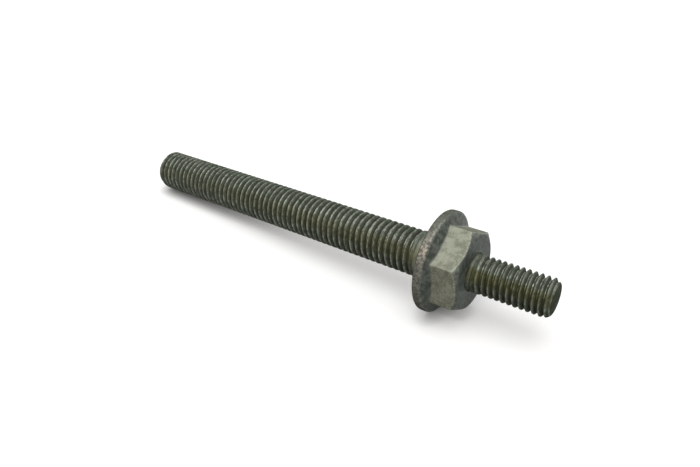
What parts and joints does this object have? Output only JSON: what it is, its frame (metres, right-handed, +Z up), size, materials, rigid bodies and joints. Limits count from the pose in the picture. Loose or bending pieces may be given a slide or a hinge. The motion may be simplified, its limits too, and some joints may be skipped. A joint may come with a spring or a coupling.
{
  "type": "collar stud",
  "caption": "Double-ended steel stud with a flanged hexagon collar between a long threaded end and a thinner, shorter threaded end.",
  "frame": {"origin": "on the floor, under the middle of the whole stud as it lies", "axes": "+X along the stud towards its short end, which is tilted up a little, and +Z up"},
  "size_m": [0.1088, 0.0218, 0.0218],
  "materials": {
    "phosphated_steel": "dark olive-grey phosphate over steel, satin, with paler worn crests and edges"
  },
  "bodies": {
    "root": {"collar_stud": "phosphated_steel"}
  },
  "joints": []
}
